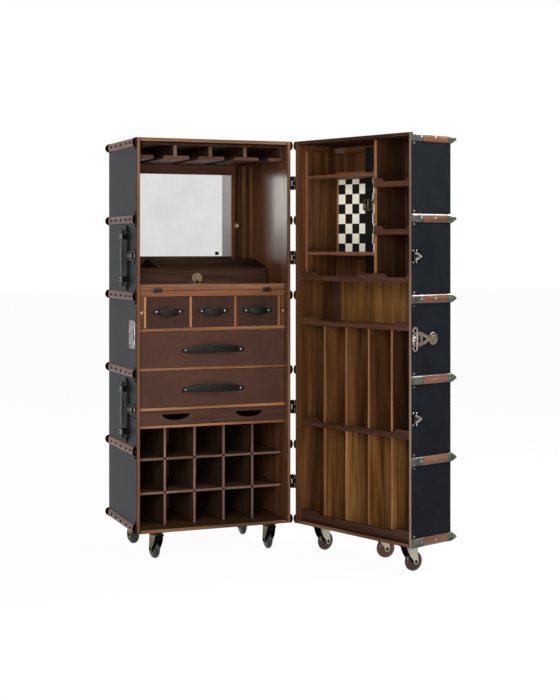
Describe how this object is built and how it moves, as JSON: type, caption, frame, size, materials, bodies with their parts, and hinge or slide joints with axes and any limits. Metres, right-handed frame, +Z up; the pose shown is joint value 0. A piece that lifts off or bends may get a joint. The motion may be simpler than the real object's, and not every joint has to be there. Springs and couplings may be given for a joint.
{
  "type": "travelling-trunk bar cabinet",
  "caption": "Upright trunk-style bar cabinet on casters, hinged open into a deep half with counter, drawers and bottle rack and a shallow half with slots, shelves and a game board.",
  "frame": {"origin": "middle of the bounding box's base, on the floor, with the lid open as pictured", "axes": "+Z up; +Y from the deep half's open front towards its back; +X towards the hinge side"},
  "size_m": [1.0846, 1.0266, 1.605],
  "materials": {
    "shell_leather": "smooth blue-black covering with wooden bands",
    "wood": "satin-lacquered warm brown wood",
    "dark_wood": "satin dark-stained wood",
    "drawer_leather": "smooth dark red-brown leather",
    "black_leather": "stitched black leather",
    "brass": "aged pale brass",
    "steel": "nickel-plated steel with a cream tone",
    "mirror": "silvered glass",
    "game_board": "chequered in cream and black",
    "wheel_resin": "glossy dark red-brown resin",
    "black_paint": "gloss black"
  },
  "bodies": {
    "main_case": {"main_left_panel": "shell_leather", "main_right_panel": "shell_leather", "main_back_panel": "wood", "main_top_panel": "shell_leather", "main_bottom_panel": "shell_leather", "counter_shelf": "wood", "drawer_rack": "wood", "drawer_shelf_upper": "wood", "drawer_shelf_lower": "wood", "rack_frame": "wood", "rack_shelf_lower": "wood", "rack_shelf_upper": "wood", "stemware_rack": "dark_wood", "mirror": "mirror", "serving_box": "dark_wood", "upper_handle": "black_leather", "lower_handle": "black_leather"},
    "lid": {"lid_free_panel": "shell_leather", "lid_hinge_panel": "shell_leather", "lid_back_panel": "wood", "lid_top_panel": "shell_leather", "lid_bottom_panel": "shell_leather", "slot_frame": "wood", "lid_shelf_middle": "wood", "lid_shelf_upper": "wood", "upper_fitment": "wood", "game_board": "game_board", "board_strap": "black_leather"},
    "bar_leaf": {"bar_leaf": "wood"},
    "box_lid": {"box_lid": "dark_wood"},
    "left_loper": {"left_loper": "wood"},
    "right_loper": {"right_loper": "wood"},
    "small_drawer_left": {"small_drawer_left": "drawer_leather"},
    "small_drawer_middle": {"small_drawer_middle": "drawer_leather"},
    "small_drawer_right": {"small_drawer_right": "drawer_leather"},
    "large_drawer_upper": {"large_drawer_upper": "drawer_leather"},
    "large_drawer_lower": {"large_drawer_lower": "drawer_leather"},
    "tray_left": {"tray_left": "wood"},
    "tray_right": {"tray_right": "wood"},
    "lock_hasp": {"lock_hasp": "brass"},
    "latch_lever_upper": {"latch_lever_upper": "steel"},
    "latch_lever_lower": {"latch_lever_lower": "steel"},
    "main_fork_front_left": {"main_fork_front_left": "steel"},
    "main_wheel_front_left": {"main_wheel_front_left": "wheel_resin"},
    "main_pedal_front_left": {"main_pedal_front_left": "black_paint"},
    "main_fork_front_right": {"main_fork_front_right": "steel"},
    "main_wheel_front_right": {"main_wheel_front_right": "wheel_resin"},
    "main_pedal_front_right": {"main_pedal_front_right": "black_paint"},
    "main_fork_back_left": {"main_fork_back_left": "steel"},
    "main_wheel_back_left": {"main_wheel_back_left": "wheel_resin"},
    "main_fork_back_right": {"main_fork_back_right": "steel"},
    "main_wheel_back_right": {"main_wheel_back_right": "wheel_resin"},
    "lid_fork_left": {"lid_fork_left": "steel"},
    "lid_wheel_left": {"lid_wheel_left": "wheel_resin"},
    "lid_pedal_left": {"lid_pedal_left": "black_paint"},
    "lid_fork_middle": {"lid_fork_middle": "steel"},
    "lid_wheel_middle": {"lid_wheel_middle": "wheel_resin"},
    "lid_fork_right": {"lid_fork_right": "steel"},
    "lid_wheel_right": {"lid_wheel_right": "wheel_resin"},
    "lid_pedal_right": {"lid_pedal_right": "black_paint"}
  },
  "joints": [
    {"name": "lid_hinge", "type": "hinge", "parent": "main_case", "child": "lid", "pos_m": [0.11897, 0.09628, 0.855], "axis": [0, 0, 1], "range_deg": [-109.5, 70.5]},
    {"name": "leaf_hinge", "type": "hinge", "parent": "main_case", "child": "bar_leaf", "pos_m": [-0.20553, 0.11978, 1.0235], "axis": [1, 0, 0], "range_deg": [0, 180]},
    {"name": "box_lid_hinge", "type": "hinge", "parent": "main_case", "child": "box_lid", "pos_m": [-0.14103, 0.42228, 1.1413], "axis": [-1, 0, 0], "range_deg": [0, 110]},
    {"name": "left_loper_slide", "type": "slide", "parent": "main_case", "child": "left_loper", "axis": [0, -1, 0], "range_m": [0, 0.25]},
    {"name": "right_loper_slide", "type": "slide", "parent": "main_case", "child": "right_loper", "axis": [0, -1, 0], "range_m": [0, 0.25]},
    {"name": "small_drawer_left_slide", "type": "slide", "parent": "main_case", "child": "small_drawer_left", "axis": [0, -1, 0], "range_m": [0, 0.26]},
    {"name": "small_drawer_middle_slide", "type": "slide", "parent": "main_case", "child": "small_drawer_middle", "axis": [0, -1, 0], "range_m": [0, 0.26]},
    {"name": "small_drawer_right_slide", "type": "slide", "parent": "main_case", "child": "small_drawer_right", "axis": [0, -1, 0], "range_m": [0, 0.26]},
    {"name": "large_drawer_upper_slide", "type": "slide", "parent": "main_case", "child": "large_drawer_upper", "axis": [0, -1, 0], "range_m": [0, 0.26]},
    {"name": "large_drawer_lower_slide", "type": "slide", "parent": "main_case", "child": "large_drawer_lower", "axis": [0, -1, 0], "range_m": [0, 0.26]},
    {"name": "tray_left_slide", "type": "slide", "parent": "main_case", "child": "tray_left", "axis": [0, -1, 0], "range_m": [0, 0.2]},
    {"name": "tray_right_slide", "type": "slide", "parent": "main_case", "child": "tray_right", "axis": [0, -1, 0], "range_m": [0, 0.2]},
    {"name": "hasp_hinge", "type": "hinge", "parent": "lid", "child": "lock_hasp", "pos_m": [0.35536, -0.50384, 0.857], "axis": [0, 0, -1], "range_deg": [0, 180]},
    {"name": "latch_upper_hinge", "type": "hinge", "parent": "lid", "child": "latch_lever_upper", "pos_m": [0.34357, -0.50801, 1.1564], "axis": [0, 0, -1], "range_deg": [0, 170]},
    {"name": "latch_lower_hinge", "type": "hinge", "parent": "lid", "child": "latch_lever_lower", "pos_m": [0.34357, -0.50801, 0.5696], "axis": [0, 0, -1], "range_deg": [0, 170]},
    {"name": "main_swivel_front_left", "type": "hinge", "parent": "main_case", "child": "main_fork_front_left", "pos_m": [-0.43103, 0.13028, 0.09885], "axis": [0, 0, 1], "continuous": true},
    {"name": "main_spin_front_left", "type": "hinge", "parent": "main_fork_front_left", "child": "main_wheel_front_left", "pos_m": [-0.43415, 0.148, 0.03629], "axis": [-0.9848, -0.1736, 0], "continuous": true},
    {"name": "main_brake_front_left", "type": "hinge", "parent": "main_fork_front_left", "child": "main_pedal_front_left", "pos_m": [-0.42912, 0.11944, 0.0907], "axis": [0.9848, 0.1736, 0], "range_deg": [0, 25]},
    {"name": "main_swivel_front_right", "type": "hinge", "parent": "main_case", "child": "main_fork_front_right", "pos_m": [0.03097, 0.13028, 0.09885], "axis": [0, 0, 1], "continuous": true},
    {"name": "main_spin_front_right", "type": "hinge", "parent": "main_fork_front_right", "child": "main_wheel_front_right", "pos_m": [0.03097, 0.14828, 0.03629], "axis": [-1, 0, 0], "continuous": true},
    {"name": "main_brake_front_right", "type": "hinge", "parent": "main_fork_front_right", "child": "main_pedal_front_right", "pos_m": [0.03097, 0.11928, 0.0907], "axis": [1, 0, 0], "range_deg": [0, 25]},
    {"name": "main_swivel_back_left", "type": "hinge", "parent": "main_case", "child": "main_fork_back_left", "pos_m": [-0.43103, 0.42128, 0.09885], "axis": [0, 0, 1], "continuous": true},
    {"name": "main_spin_back_left", "type": "hinge", "parent": "main_fork_back_left", "child": "main_wheel_back_left", "pos_m": [-0.43718, 0.43819, 0.03629], "axis": [-0.9397, -0.342, 0], "continuous": true},
    {"name": "main_swivel_back_right", "type": "hinge", "parent": "main_case", "child": "main_fork_back_right", "pos_m": [0.03097, 0.42128, 0.09885], "axis": [0, 0, 1], "continuous": true},
    {"name": "main_spin_back_right", "type": "hinge", "parent": "main_fork_back_right", "child": "main_wheel_back_right", "pos_m": [0.03097, 0.43928, 0.03629], "axis": [-1, 0, 0], "continuous": true},
    {"name": "lid_swivel_left", "type": "hinge", "parent": "lid", "child": "lid_fork_left", "pos_m": [0.21561, 0.03608, 0.09885], "axis": [0, 0, 1], "continuous": true},
    {"name": "lid_spin_left", "type": "hinge", "parent": "lid_fork_left", "child": "lid_wheel_left", "pos_m": [0.23278, 0.0415, 0.03629], "axis": [-0.3007, 0.9537, 0], "continuous": true},
    {"name": "lid_brake_left", "type": "hinge", "parent": "lid_fork_left", "child": "lid_pedal_left", "pos_m": [0.20512, 0.03278, 0.0907], "axis": [0.3007, -0.9537, 0], "range_deg": [0, 25]},
    {"name": "lid_swivel_middle", "type": "hinge", "parent": "lid", "child": "lid_fork_middle", "pos_m": [0.37425, -0.16924, 0.09885], "axis": [0, 0, 1], "continuous": true},
    {"name": "lid_spin_middle", "type": "hinge", "parent": "lid_fork_middle", "child": "lid_wheel_middle", "pos_m": [0.39221, -0.17034, 0.03629], "axis": [0.0611, 0.9981, 0], "continuous": true},
    {"name": "lid_swivel_right", "type": "hinge", "parent": "lid", "child": "lid_fork_right", "pos_m": [0.37283, -0.4079, 0.09885], "axis": [0, 0, 1], "continuous": true},
    {"name": "lid_spin_right", "type": "hinge", "parent": "lid_fork_right", "child": "lid_wheel_right", "pos_m": [0.39068, -0.40555, 0.03629], "axis": [-0.1305, 0.9914, 0], "continuous": true},
    {"name": "lid_brake_right", "type": "hinge", "parent": "lid_fork_right", "child": "lid_pedal_right", "pos_m": [0.36193, -0.40934, 0.0907], "axis": [0.1305, -0.9914, 0], "range_deg": [0, 25]}
  ]
}
